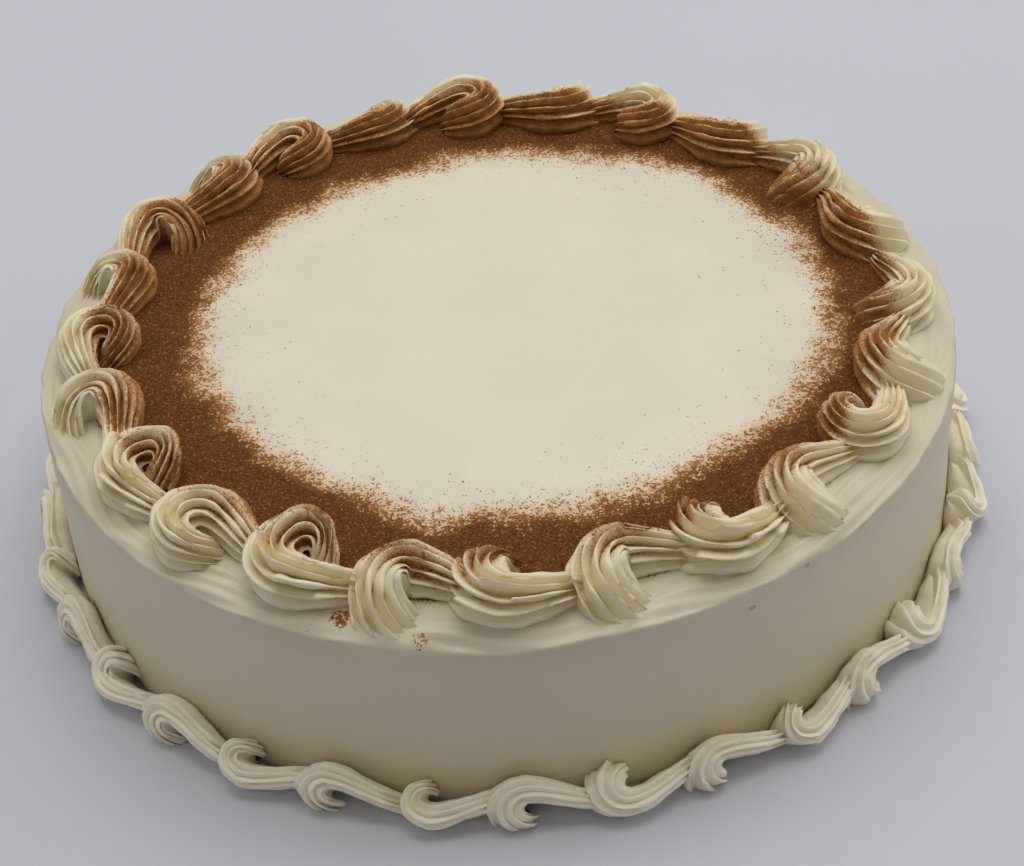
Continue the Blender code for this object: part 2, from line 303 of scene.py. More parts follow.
class Shader:
    """A short way to write a node material."""

    def __init__(self, name, roughness):
        self.material = bpy.data.materials.new(name)
        self.material.use_nodes = True
        self.tree = self.material.node_tree
        self.surface = self.tree.nodes["Principled BSDF"]
        self.surface.inputs["Roughness"].default_value = roughness
        self.place = self.tree.nodes.new("ShaderNodeTexCoord").outputs["Object"]

    def link(self, source, socket):
        """Feed a socket from an output or set it to a constant."""
        if isinstance(source, bpy.types.NodeSocket):
            self.tree.links.new(source, socket)
        else:
            socket.default_value = source

    def math(self, operation, *values, clamp=False):
        """Return the result of a Math node."""
        node = self.tree.nodes.new("ShaderNodeMath")
        node.operation = operation
        node.use_clamp = clamp
        for value, socket in zip(values, node.inputs):
            self.link(value, socket)
        return node.outputs[0]

    def length(self, across, back):
        """Return how far a place lies from the middle."""
        squares = [self.math("MULTIPLY", part, part) for part in (across, back)]
        return self.math("SQRT", self.math("ADD", *squares))

    def span(self, value, low, high, to_low=0.0, to_high=1.0):
        """Map a value smoothly from one span to another."""
        node = self.tree.nodes.new("ShaderNodeMapRange")
        node.interpolation_type = "SMOOTHSTEP"
        for name, item in (("Value", value), ("From Min", low), ("From Max", high)):
            self.link(item, node.inputs[name])
        node.inputs["To Min"].default_value = to_low
        node.inputs["To Max"].default_value = to_high
        return node.outputs[0]

    def noise(self, size, detail=2.0, stretch=(1.0, 1.0, 1.0), roughness=0.5):
        """Return noise whose features are about the size given, in metres."""
        mapping = self.tree.nodes.new("ShaderNodeMapping")
        self.link(self.place, mapping.inputs["Vector"])
        mapping.inputs["Scale"].default_value = stretch
        node = self.tree.nodes.new("ShaderNodeTexNoise")
        self.link(mapping.outputs[0], node.inputs["Vector"])
        node.inputs["Scale"].default_value = 1.0 / size
        node.inputs["Detail"].default_value = detail
        node.inputs["Roughness"].default_value = roughness
        return node.outputs["Fac"]

    def grains(self, size):
        """Return a random share for each grain of about the size given, in metres."""
        shares = []
        for width in (size, size * 0.55):
            node = self.tree.nodes.new("ShaderNodeTexVoronoi")
            self.link(self.place, node.inputs["Vector"])
            node.inputs["Scale"].default_value = 1.0 / width
            parts = self.tree.nodes.new("ShaderNodeSeparateColor")
            self.link(node.outputs["Color"], parts.inputs[0])
            shares.append(parts.outputs["Red"])
        return self.blend(0.45, *shares)

    def mix(self, factor, first, second):
        """Mix two colours."""
        node = self.tree.nodes.new("ShaderNodeMix")
        node.data_type = "RGBA"
        self.link(factor, node.inputs["Factor"])
        for item, socket in ((first, node.inputs["A"]), (second, node.inputs["B"])):
            colour = (*item, 1.0) if isinstance(item, tuple) else item
            self.link(colour, socket)
        return node.outputs["Result"]

    def blend(self, factor, first, second):
        """Mix two numbers."""
        node = self.tree.nodes.new("ShaderNodeMix")
        self.link(factor, node.inputs["Factor"])
        self.link(first, node.inputs["A"])
        self.link(second, node.inputs["B"])
        return node.outputs["Result"]

    def spot(self, place, radius, width, flat=False):
        """Return a soft round mark at a place, drawn out sideways by the width's ratio.

        A flat one reaches all heights.
        """
        mapping = self.tree.nodes.new("ShaderNodeMapping")
        self.link(self.place, mapping.inputs["Vector"])
        squeeze = (1.0 / width, 1.0 / width, 0.0 if flat else 1.0)
        mapping.inputs["Scale"].default_value = squeeze
        mapping.inputs["Location"].default_value = [
            -centre * share for centre, share in zip(place, squeeze)
        ]
        length = self.tree.nodes.new("ShaderNodeVectorMath")
        length.operation = "LENGTH"
        self.link(mapping.outputs[0], length.inputs[0])
        return self.span(length.outputs["Value"], radius * 1.2, radius * 0.5)

    def attribute(self, name):
        """Return a number stored on the mesh's points."""
        node = self.tree.nodes.new("ShaderNodeAttribute")
        node.attribute_name = name
        return node.outputs["Fac"]

    def bump(self, height, distance, strength=1.0):
        """Raise the surface by a height in shares of a distance in metres.

        A second call adds to the first.
        """
        node = self.tree.nodes.new("ShaderNodeBump")
        node.inputs["Distance"].default_value = distance
        self.link(strength, node.inputs["Strength"])
        self.link(height, node.inputs["Height"])
        normal = self.surface.inputs["Normal"]
        if normal.is_linked:
            self.link(normal.links[0].from_socket, node.inputs["Normal"])
        self.link(node.outputs[0], normal)

    def soften(self, weight, colour_reach, scale):
        """Let light into the surface, as into buttercream."""
        self.surface.inputs["Subsurface Weight"].default_value = weight
        self.surface.inputs["Subsurface Radius"].default_value = colour_reach
        self.surface.inputs["Subsurface Scale"].default_value = scale


def shade(colour, share):
    """Return a colour made lighter or darker."""
    return tuple(min(1.0, channel * share) for channel in colour)


def cinnamon_colour(shader, settings, thickness):
    """Return the grainy colour of cinnamon, warmer where it is thin."""
    dark = tuple(settings.dark)
    grains = shader.noise(0.00045, 2.0)
    clods = shader.noise(0.0030, 3.0)
    thick = shader.mix(shader.span(grains, 0.34, 0.66), shade(dark, 0.66), shade(dark, 1.30))
    greyed = (dark[0] * 2.1, dark[1] * 2.8, dark[2] * 4.6)
    thick = shader.mix(shader.span(shader.noise(0.00065, 1.0), 0.58, 0.74), thick, greyed)
    warm = tuple(settings.warm)
    thin = shader.mix(shader.span(clods, 0.35, 0.65), shade(warm, 0.72), shade(warm, 1.20))
    thin = shader.mix(shader.span(grains, 0.30, 0.70, 0.0, 0.30), thin, dark)
    return shader.mix(shader.span(thickness, 0.45, 1.05), thin, thick)


BAND_OUTER_RADIUS = 0.1030
# The bare middle is a little wider than it is deep.
BAND_SQUEEZE = 0.96
# Where the cinnamon reaches further in: place, reach and how far
BAND_BULGES = ((-0.0600, -0.0480, 0.0360, 0.0045), (0.0350, -0.0680, 0.0300, 0.0015))
# Small pits in the side, at the right of the front
PIT_PLACES = ((0.0509, -0.1051, 0.0446), (0.0643, -0.0977, 0.0485))
PIT_RADIUS = 0.0006
# A clump of cinnamon that fell on the lip, and three fainter ones: place, reach and cover
FALLEN_CLUMPS = (
    (-0.0387, -0.1041, 0.0029, 0.80),
    (-0.0448, -0.1059, 0.0024, 0.20),
    (-0.0216, -0.1121, 0.0020, 0.42),
    (-0.0172, -0.1081, 0.0018, 0.12),
)


def smooth_icing_material(body, cinnamon):
    """Cream icing spread smooth, with the band of cinnamon sifted on its top."""
    shader = Shader("smooth_icing", 0.50)
    base = tuple(body.colour)
    mottle = shader.noise(0.028, 3.0)
    cream = shader.mix(shader.span(mottle, 0.30, 0.70), shade(base, 0.965), shade(base, 1.02))
    parts = shader.tree.nodes.new("ShaderNodeSeparateXYZ")
    shader.link(shader.place, parts.inputs[0])
    across = shader.math("SUBTRACT", parts.outputs["X"], cinnamon.shift)
    across = shader.math("MULTIPLY", across, BAND_SQUEEZE)
    back = shader.math("SUBTRACT", parts.outputs["Y"], cinnamon.shift_back)
    radius = shader.length(across, back)
    for x, y, reach, shift in BAND_BULGES:
        bulge = shader.spot((x, y, body.height), reach, 1.0, flat=True)
        radius = shader.math("ADD", radius, shader.math("MULTIPLY", bulge, shift))
    wander = shader.math("SUBTRACT", shader.noise(0.022, 4.0), 0.5)
    radius = shader.math("ADD", radius, shader.math("MULTIPLY", wander, 0.014))
    lobes = shader.math("SUBTRACT", shader.noise(0.0060, 3.0), 0.5)
    radius = shader.math("ADD", radius, shader.math("MULTIPLY", lobes, 0.010))
    inner = cinnamon.inner_radius
    cover = shader.math("MULTIPLY", shader.span(radius, inner - 0.0110, inner + 0.0110), 1.20)
    haze = shader.math("MULTIPLY", shader.span(radius, inner - 0.034, inner + 0.002), 0.15)
    cover = shader.math("MAXIMUM", cover, haze)
    on_top = shader.span(parts.outputs["Z"], body.height - 0.0040, body.height - 0.0030)
    cover = shader.math("MULTIPLY", cover, on_top)
    true_radius = shader.length(parts.outputs["X"], parts.outputs["Y"])
    edge_low = BAND_OUTER_RADIUS - 0.0015
    outside = shader.span(true_radius, edge_low, BAND_OUTER_RADIUS + 0.002, 1.0, 0.045)
    cover = shader.math("MULTIPLY", cover, outside)
    for x, y, reach, share in FALLEN_CLUMPS:
        clump = shader.spot((x, y, body.height), reach, 1.0, flat=True)
        cover = shader.math("MAXIMUM", cover, shader.math("MULTIPLY", clump, share))
    cover = shader.math("MULTIPLY", cover, on_top)
    cream = shader.mix(shader.span(cover, 0.08, 1.0, 0.0, 0.75), cream, tuple(cinnamon.powder))
    bare = shader.math("SUBTRACT", cover, shader.grains(0.00066))
    dusted = shader.span(bare, -0.02, 0.16)
    # Painted bounce light: a patchy warm peach glow on the side near the foot.
    painted_bounce_glow = shader.span(parts.outputs["Z"], 0.020, 0.008)
    painted_bounce_glow = shader.math("MULTIPLY", painted_bounce_glow, shader.span(shader.noise(0.020, 2.0), 0.25, 0.75))
    painted_bounce_glow = shader.math("MULTIPLY", painted_bounce_glow, 0.45)
    # Painted shade: the lip round the outer edge of the top is darker.
    rim = shader.span(true_radius, BAND_OUTER_RADIUS, BAND_OUTER_RADIUS + 0.006)
    rim = shader.math("MULTIPLY", rim, shader.span(mottle, 0.30, 0.70, 1.0, 0.75))
    cream = shader.mix(rim, cream, (base[0] * 0.81, base[1] * 0.79, base[2] * 0.73))
    # Painted shade: the side below the top is darker and yellower than the top.
    low = shader.span(parts.outputs["Z"], body.height - 0.004, body.height - 0.010, 0.0, 0.9)
    cream = shader.mix(low, cream, (base[0] * 0.87, base[1] * 0.855, base[2] * 0.775))
    cream = shader.mix(painted_bounce_glow, cream, (0.88, 0.73, 0.50))
    colour = shader.mix(dusted, cream, cinnamon_colour(shader, cinnamon, cover))
    dents = 0.0
    for place in PIT_PLACES:
        dents = shader.math("MAXIMUM", dents, shader.spot(place, PIT_RADIUS, 1.8))
    # Painted shade: the pits in the side are darkened.
    colour = shader.mix(shader.math("MULTIPLY", dents, 0.55), colour, (0.30, 0.27, 0.15))
    shader.link(colour, shader.surface.inputs["Base Color"])
    shader.link(shader.blend(dusted, 0.50, 0.95), shader.surface.inputs["Roughness"])
    shader.link(shader.blend(dusted, 0.45, 0.12), shader.surface.inputs["Specular IOR Level"])
    drag = shader.noise(0.004, 3.0, stretch=(1.0, 1.0, 3.5))
    smooth = shader.math("MULTIPLY", drag, 0.12)
    relief = shader.math("SUBTRACT", smooth, shader.math("MULTIPLY", dents, 0.5))
    shader.bump(relief, 0.0005)
    shader.bump(shader.noise(0.0006, 2.0), 0.0005, shader.math("MULTIPLY", dusted, 0.9))
    return shader.material


def piped_icing_material(name, colour, cinnamon):
    """Piped cream icing, dusted where the mesh says so."""
    shader = Shader(name, 0.40)
    base = tuple(colour)
    mottle = shader.noise(0.012, 3.0)
    cream = shader.mix(shader.span(mottle, 0.30, 0.70), shade(base, 0.97), shade(base, 1.03))
    groove = shader.attribute("groove")
    # Painted shade: the grooves between the ridges are darker.
    deep = (base[0] * 0.92, base[1] * 0.82, base[2] * 0.55)
    cream = shader.mix(shader.math("MULTIPLY", groove, 0.75), cream, deep)
    dust = shader.attribute("dust")
    cream = shader.mix(shader.span(dust, 0.06, 0.8, 0.0, 0.95), cream, tuple(cinnamon.powder))
    bare = shader.math("SUBTRACT", dust, shader.grains(0.00056))
    dusted = shader.math("MULTIPLY", shader.span(bare, -0.04, 0.20), 0.92)
    thickness = shader.math("MULTIPLY", dust, 0.62)
    colour = shader.mix(dusted, cream, cinnamon_colour(shader, cinnamon, thickness))
    shader.link(colour, shader.surface.inputs["Base Color"])
    shader.link(shader.blend(dusted, 0.40, 0.90), shader.surface.inputs["Roughness"])
    shader.bump(shader.noise(0.0022, 3.0), 0.00012)
    shader.bump(shader.noise(0.00045, 2.0), 0.0004, dusted)
    shader.soften(0.08, (1.0, 0.75, 0.45), 0.0014)
    return shader.material


def grain_material(cinnamon):
    """Loose cinnamon grains, each with its own tone."""
    shader = Shader("cinnamon_grain", 0.90)
    tone = shader.attribute("tone")
    dark = tuple(cinnamon.dark)
    warm = tuple(cinnamon.warm)
    colour = shader.mix(shader.span(tone, 0.0, 0.5), shade(dark, 1.1), shade(warm, 1.05))
    pale = (warm[0] * 1.35, warm[1] * 1.9, warm[2] * 3.2)
    colour = shader.mix(shader.span(tone, 0.80, 1.0), colour, pale)
    colour = shader.mix(shader.span(shader.noise(0.0003, 1.0), 0.3, 0.7, 0.0, 0.35), colour, dark)
    shader.link(colour, shader.surface.inputs["Base Color"])
    shader.bump(shader.noise(0.00015, 1.0), 0.00005)
    return shader.material


# Mesh helpers


def deselect():
    """Leave object mode clean, with nothing selected."""
    if bpy.context.object and bpy.context.object.mode != "OBJECT":
        bpy.ops.object.mode_set(mode="OBJECT")
    bpy.ops.object.select_all(action="DESELECT")


def read_points(mesh):
    """Return the mesh's points as rows of x, y and z."""
    flat = np.empty(len(mesh.vertices) * 3, dtype=np.float32)
    mesh.vertices.foreach_get("co", flat)
    return flat.reshape(-1, 3).astype(np.float64)


def write_points(mesh, points):
    """Move the mesh's points."""
    mesh.vertices.foreach_set("co", np.asarray(points, dtype=np.float32).ravel())
    mesh.update()


def read_normals(mesh):
    """Return the points' normals."""
    flat = np.empty(len(mesh.vertices) * 3, dtype=np.float32)
    mesh.vertex_normals.foreach_get("vector", flat)
    return flat.reshape(-1, 3).astype(np.float64)


def store(mesh, name, values):
    """Keep one number for each point on the mesh."""
    layer = mesh.attributes.new(name, "FLOAT", "POINT")
    layer.data.foreach_set("value", np.asarray(values, dtype=np.float32))


def weaken(mesh, name, share):
    """Scale the numbers stored on the mesh's points."""
    values = np.empty(len(mesh.vertices), dtype=np.float32)
    layer = mesh.attributes[name].data
    layer.foreach_get("value", values)
    layer.foreach_set("value", values * share)


def ease(share):
    """Ease shares from 0 to 1."""
    share = np.clip(share, 0.0, 1.0)
    return share * share * (3.0 - 2.0 * share)


def ripple(points, size, seed):
    """Return soft, uneven waves about as long as the size given, between about -1 and 1."""
    draw = np.random.default_rng(seed)
    total = np.zeros(len(points))
    for _ in range(7):
        way = draw.normal(size=3)
        way *= math.tau / size / np.linalg.norm(way) * draw.uniform(0.55, 1.25)
        total += np.sin(points @ way + draw.uniform(0.0, math.tau))
    return total / 3.2


def round_trip(angle, counts, seed):
    """Return uneven waves round a ring, which meet where they start."""
    draw = np.random.default_rng(seed)
    total = np.zeros_like(angle)
    for count in counts:
        total += np.sin(count * angle + draw.uniform(0.0, math.tau)) * draw.uniform(0.6, 1.0)
    return total / math.sqrt(len(counts))


# The iced body

BODY_SEGMENTS = 480
RIM_RADIUS = 0.0006
SIDE_RINGS = 20
RIM_STEPS = 4
# Rings and their spacing, close together on the lip and wider on the rest of the top
LIP_RINGS = 32
LIP_RING_STEP = 0.0005
TOP_RINGS = 16
TOP_RING_STEP = 0.0016
MIDDLE_RINGS = 8


def lip_drop(radius, angle):
    """Return how far the lip hangs below the level of the top."""
    share = (radius - LIP_START_RADIUS) / (CAKE_HIGH.x - SIDE_TAPER - LIP_START_RADIUS)
    share = np.clip(share, 0.0, 1.0)
    offset = np.remainder(angle - LIP_FRONT_ANGLE + math.pi, math.tau) - math.pi
    front = np.exp(-((offset / LIP_FRONT_SPREAD) ** 2))
    return share ** LIP_CURVE * (LIP_DROP + LIP_FRONT_DROP * front)


def body_profile(radius, height):
    """Return the outline's rings, from the foot of the side to near the middle of the top."""
    rim_radius = radius - SIDE_TAPER
    rings = []
    for step in range(SIDE_RINGS):
        share = step / SIDE_RINGS
        rings.append((radius - SIDE_TAPER * share, (height - RIM_RADIUS) * share))
    for step in range(RIM_STEPS + 1):
        angle = math.radians(90.0) * step / RIM_STEPS
        rings.append(
            (
                rim_radius - RIM_RADIUS * (1.0 - math.cos(angle)),
                height - RIM_RADIUS * (1.0 - math.sin(angle)),
            )
        )
    edge = rim_radius - RIM_RADIUS
    for count, spacing in ((LIP_RINGS, LIP_RING_STEP), (TOP_RINGS, TOP_RING_STEP)):
        for step in range(1, count + 1):
            rings.append((edge - spacing * step, height))
        edge -= spacing * count
    for step in range(1, MIDDLE_RINGS + 1):
        rings.append((edge * (1.0 - step / (MIDDLE_RINGS + 1)), height))
    return rings


def body_relief(points, radius, height):
    """Return the points moved by the marks that the palette knife leaves."""
    reach = np.hypot(points[:, 0], points[:, 1])
    angle = np.arctan2(points[:, 1], points[:, 0])
    high = ease((points[:, 2] - height + 0.006) / 0.005)
    side = ease((reach - radius + 0.004) / 0.003) * (1.0 - high)
    swell = 0.00025 * ripple(points, 0.055, 1) + 0.00008 * ripple(points, 0.016, 2)
    edge = high * np.exp(-(((reach - radius + 0.0008) / 0.0012) ** 2))
    band = high * ease((reach - LIP_START_RADIUS + 0.003) / 0.004)
    edge_wave = round_trip(angle, (4, 7, 12, 19, 31), 3) + 0.5 * round_trip(angle, (53, 71, 97), 8)
    strokes = np.sin(reach / 0.00048 + 6.0 * round_trip(angle, (2, 3, 5, 8, 13), 4))
    stroke_size = np.clip(0.00020 * (1.0 + round_trip(angle, (4, 9, 14, 23), 5)), 0.0, 0.00042)
    smear = 0.00055 * round_trip(angle + 30.0 * reach, (5, 8, 13, 17, 29), 6)
    inner = high * ease((radius - 0.030 - reach) / 0.010)
    outward = swell * side + 0.00034 * edge * edge_wave
    scale = 1.0 + outward / np.maximum(reach, 0.001)
    rise = band * (strokes * stroke_size + smear) + 0.00040 * edge * (0.8 + edge_wave)
    rise += inner * 0.00012 * ripple(points, 0.050, 7)
    drop = high * lip_drop(reach, angle)
    moved = points * np.stack([scale, scale, np.ones_like(scale)], axis=1)
    moved[:, 2] += rise - drop
    return moved


def make_body(body, cinnamon):
    """Model the iced body, ring by ring, and finish it."""
    deselect()
    rings = body_profile(body.radius, body.height)
    bpy.ops.mesh.primitive_circle_add(
        vertices=BODY_SEGMENTS, radius=rings[0][0], fill_type="NGON", location=(0.0, 0.0, 0.0)
    )
    piece = bpy.context.object
    piece.name = "iced_body"
    bpy.ops.object.mode_set(mode="EDIT")
    bpy.ops.mesh.select_all(action="SELECT")
    for (radius, height), (next_radius, next_height) in zip(rings, rings[1:]):
        bpy.ops.mesh.extrude_region_move(
            TRANSFORM_OT_translate={"value": (0.0, 0.0, next_height - height)}
        )
        share = next_radius / radius
        bpy.ops.transform.resize(
            value=(share, share, 1.0), center_override=(0.0, 0.0, next_height)
        )
    bpy.ops.mesh.poke()
    bpy.ops.mesh.select_all(action="SELECT")
    bpy.ops.mesh.normals_make_consistent(inside=False)
    bpy.ops.object.mode_set(mode="OBJECT")
    write_points(piece.data, body_relief(read_points(piece.data), body.radius, body.height))
    bpy.ops.object.shade_smooth()
    piece.data.materials.append(smooth_icing_material(body, cinnamon))
    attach(piece, "root")
    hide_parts("cake")


# The piped borders

# Grid steps of a rope: for each ridge and for the foot round the section, and along the rope
TOP_RIDGE_STEPS = 11
FOOT_RIDGE_STEPS = 10
ROPE_FOOT_STEPS = 8
TOP_STEPS_ALONG = 70
FOOT_STEPS_ALONG = 50
MERGE_DISTANCE = 0.000002
# How unevenly the tips of a fan end, and from where on they are torn up as well
NEAT_TIPS = 0.05
RAGGED_TIPS = 0.16
FOOT_TIPS = 0.10
TORN_FROM = 0.12
TORN_SHARE = 0.30
FOOT_FAN_SHARE = 0.55
# Share of the painted groove shade that the border at the foot keeps
FOOT_GROOVE_SHARE = 0.45


def rope_section(around, ridges, depth):
    """Return how far across and up the rope's surface lies, and how deep in a groove it is.

    The share around starts at the outer foot, goes over the ridged back and ends underneath.
    """
    over = np.clip((around - SECTION_STOPS[1]) / (SECTION_STOPS[2] - SECTION_STOPS[1]), 0.0, 1.0)
    angle = over * (math.pi + 2.0 * ROPE_OVERHANG) - ROPE_OVERHANG
    groove = 1.0 - np.abs(2.0 * np.remainder(over * (ridges - 1), 1.0) - 1.0)
    groove = groove ** RIDGE_SHARPNESS
    reach = 1.0 - depth * groove
    across = reach * np.cos(angle)
    up = ROPE_WAIST_SHARE + (1.0 - ROPE_WAIST_SHARE) * reach * np.sin(angle)
    crest_across = math.cos(ROPE_OVERHANG)
    crest_up = ROPE_WAIST_SHARE - (1.0 - ROPE_WAIST_SHARE) * math.sin(ROPE_OVERHANG)
    rising = around < SECTION_STOPS[1]
    falling = around > SECTION_STOPS[2]
    across_stops = (ROPE_FOOT_SHARE, crest_across, -crest_across, -ROPE_FOOT_SHARE, ROPE_FOOT_SHARE)
    up_stops = (0.0, crest_up, crest_up, 0.0, 0.0)
    plain_across = np.interp(around, SECTION_STOPS, across_stops)
    plain_up = np.interp(around, SECTION_STOPS, up_stops)
    plain = rising | falling
    return np.where(plain, plain_across, across), np.where(plain, plain_up, up), groove


def petal_flare(along, around, ridges):
    """Return how far each ridge is torn outwards: it flares at once and fades along the rope."""
    over = np.clip((around - SECTION_STOPS[1]) / (SECTION_STOPS[2] - SECTION_STOPS[1]), 0.0, 1.0)
    ridge = np.rint(over * (ridges - 1))
    stagger = np.remainder(ridge * 0.618, 1.0)
    phase = np.remainder(along * 2.3 - stagger, 1.0)
    flare = (1.0 - phase) * ease(phase / 0.06)
    outside = ease((0.62 - over) / 0.30) * ease((over - 0.04) / 0.06)
    return flare * outside * ease((0.96 - along) / 0.20)


def swirl_surface(along, around, size, ridges, depth):
    """Return a swirl's points as (forward, aside, up) about its ring, and its groove depths."""
    across, up, groove = rope_section(around, ridges, depth)
    petals = 1.0 + size["petals"] * petal_flare(along, around, ridges) * (1.0 - groove)
    across = across * petals
    up = up * petals
    start = size["start_turn"]
    head = np.clip(along / HEAD_SHARE, 0.0, 1.0)
    turn = start + (math.pi - start) * head
    grown = ease((turn - start) / size["growth"])
    slimmed = ease(head)
    half_width = size["half_width"] * (size["start_width"] + (1.0 - size["start_width"]) * grown)
    half_width = half_width * (1.0 - (1.0 - TAIL_START_WIDTH) * slimmed)
    height = size["height"] * (1.0 - (1.0 - TAIL_START_HEIGHT) * slimmed)
    roll = math.radians(90.0) * np.clip(1.0 - (turn - start) / size["roll_span"], 0.0, 1.0)
    tips = 1.0 + size["ragged"][np.rint(around * (len(size["ragged"]) - 1)).astype(int)]
    even = np.interp(around, SECTION_STOPS, (0.0, 0.0, 1.0, 1.0, 0.0))
    spread = (1.0 - across) / 2.0
    spread = spread + (even - spread) * size["fan"]
    tip_reach = FAN_MIDDLE_REACH + FAN_REACH_SPREAD * (1.0 - 2.0 * spread)
    reach = 1.0 + across + (tip_reach - 1.0 - across) * np.sin(roll) ** 4 * size["fan"]
    radius = EYE_RADIUS + half_width * reach
    swept = size["sweep"] * spread + size["lean"] * up
    swept = swept * tips - FINGER_ANGLE * (groove - 0.3)
    bearing = turn - swept * np.sin(roll)
    inside = ease(-across / 0.8) * np.sin(math.pi * head) ** 0.7 * size["fan"]
    inside = inside * np.clip((SECTION_STOPS[3] - around) / 0.03, 0.0, 1.0)
    risen = up + (FAN_FILL - up) * inside
    head_points = (
        -radius * np.sin(bearing),
        size["pivot_offset"] + radius * np.cos(bearing),
        height * risen * (np.cos(roll) + size["lift"] * np.sin(roll) * tips),
    )
    share = np.clip((along - HEAD_SHARE) / (1.0 - HEAD_SHARE), 0.0, 1.0)
    tail_width = size["half_width"] * (
        TAIL_START_WIDTH + (size["tail_width"] - TAIL_START_WIDTH) * share
    )
    tail_height = size["height"] * (
        TAIL_START_HEIGHT + (TAIL_END_HEIGHT - TAIL_START_HEIGHT) * share ** 1.15
    )
    start_aside = size["pivot_offset"] - EYE_RADIUS - TAIL_START_WIDTH * size["half_width"]
    middle = start_aside * (1.0 - (1.0 + size["crossing"]) * ease(share))
    tail_points = (size["length"] * share, middle - tail_width * across, tail_height * up)
    in_tail = along > HEAD_SHARE
    points = [np.where(in_tail, tail, curl) for tail, curl in zip(tail_points, head_points)]
    return np.stack(points, axis=1), groove


def crowded(angle):
    """Shift an even angle to where the piping has it."""
    shift = 0.0
    for size, centre, spread in CROWDINGS:
        offset = math.remainder(angle - math.radians(centre), math.tau) / math.radians(spread)
        shift += math.radians(size) * math.exp(-offset * offset)
    return angle + shift


def swirl_size(draw, half_width, height, tail_width, full_curl, raggedness):
    """Return one swirl's sizes, a little larger or smaller than the last one's."""
    scale = 1.0 + draw.uniform(-SIZE_SPREAD, SIZE_SPREAD)
    tips = np.random.default_rng(int(scale * 1e6)).uniform(-raggedness, raggedness, 40)
    torn = TORN_SHARE if raggedness > TORN_FROM else 0.0
    return {
        "sweep": CURL_SWEEP if full_curl else FAN_SWEEP,
        "lean": HEAD_LEAN,
        "lift": torn,
        "petals": torn,
        "half_width": half_width * scale,
        "height": height * scale,
        "tail_width": tail_width,
        "start_turn": CURL_START_TURN if full_curl else FAN_START_TURN,
        "start_width": CURL_START_WIDTH if full_curl else FAN_START_WIDTH,
        "growth": CURL_GROWTH if full_curl else FAN_GROWTH,
        "roll_span": CURL_ROLL_SPAN if full_curl else FAN_ROLL_SPAN,
        "fan": 0.0 if full_curl else 1.0,
        "ragged": tips,
    }


def lay_on_top(points, angle, side, ring_radius, base):
    """Lay a swirl's points round the ring on the top."""
    bearing = angle + points[:, 0] / ring_radius
    radius = ring_radius + side * points[:, 1]
    height = base + points[:, 2] - lip_drop(radius, bearing)
    return np.stack([radius * np.cos(bearing), radius * np.sin(bearing), height], axis=1)


def lay_at_foot(points, angle, side, piping, wall):
    """Lean a swirl's points on the slope from the side to the ground, its foot in the corner."""
    ring_radius = wall + piping.foot_reach / 2.0
    widest = EYE_RADIUS + 2.0 * piping.foot_half_width * (1.0 + SIZE_SPREAD)
    widest += FOOT_SIDE_MARGIN - FOOT_PIVOT_OFFSET
    slope_length = math.hypot(piping.foot_reach, piping.foot_rise)
    bearing = angle + points[:, 0] / ring_radius
    down = (1.0 + side * points[:, 1] / widest) / 2.0
    up = points[:, 2]
    lifted = np.clip(up / FOOT_LIFT_HEIGHT, 0.0, 1.0)
    corner_out = piping.foot_reach * np.maximum(0.0, 2.0 * down - 1.0)
    corner_high = piping.foot_rise * np.maximum(0.0, 1.0 - 2.0 * down)
    out = corner_out + (piping.foot_reach * down - corner_out) * lifted
    high = corner_high + (piping.foot_rise * (1.0 - down) - corner_high) * lifted
    radius = wall + out + up * piping.foot_rise / slope_length
    height = high + up * piping.foot_reach / slope_length
    return np.stack([radius * np.cos(bearing), radius * np.sin(bearing), height], axis=1)


def rope_blank(name, around_steps, along_steps):
    """Add the flat grid that each swirl is rolled from."""
    deselect()
    bpy.ops.mesh.primitive_grid_add(
        x_subdivisions=around_steps, y_subdivisions=along_steps, size=1.0, location=(0, 0, 0)
    )
    blank = bpy.context.object
    blank.name = name
    return blank


def roll_swirl(blank, name, size, ridges, depth, lay):
    """Roll a copy of the blank into one closed swirl and lay it in its place."""
    piece = blank.copy()
    piece.data = blank.data.copy()
    piece.name = name
    bpy.context.scene.collection.objects.link(piece)
    flat = read_points(piece.data)
    points, groove = swirl_surface(flat[:, 1] + 0.5, flat[:, 0] + 0.5, size, ridges, depth)
    laid = lay(points)
    store(piece.data, "groove", groove)
    write_points(piece.data, laid)
    return piece


def join_swirls(pieces, name):
    """Join rolled swirls into one object, with their seams and ends closed."""
    deselect()
    for piece in pieces:
        piece.select_set(True)
    bpy.context.view_layer.objects.active = pieces[0]
    bpy.ops.object.join()
    joined = bpy.context.object
    joined.name = name
    bpy.ops.object.mode_set(mode="EDIT")
    bpy.ops.mesh.select_all(action="SELECT")
    bpy.ops.mesh.remove_doubles(threshold=MERGE_DISTANCE)
    bpy.ops.mesh.select_all(action="SELECT")
    bpy.ops.mesh.fill_holes(sides=0)
    bpy.ops.mesh.select_all(action="SELECT")
    bpy.ops.mesh.normals_make_consistent(inside=False)
    bpy.ops.object.mode_set(mode="OBJECT")
    bpy.ops.object.shade_smooth()
    return joined


def soften_swirls(piece, size, seed):
    """Give the piped icing the small unevenness of a hand-held bag."""
    points = read_points(piece.data)
    normals = read_normals(piece.data)
    push = 0.00030 * size * ripple(points, 0.011 * size, seed)
    push += 0.00012 * size * ripple(points, 0.0042 * size, seed + 1)
    moved = points + normals * push[:, None]
    moved[:, 2] = np.maximum(moved[:, 2], np.minimum(points[:, 2], 0.0))
    write_points(piece.data, moved)


# The cinnamon blew mostly to the back, and reaches this far past the ring's middle.
DUST_SIDE = math.radians(122.0)
DUST_REACH = 0.0053


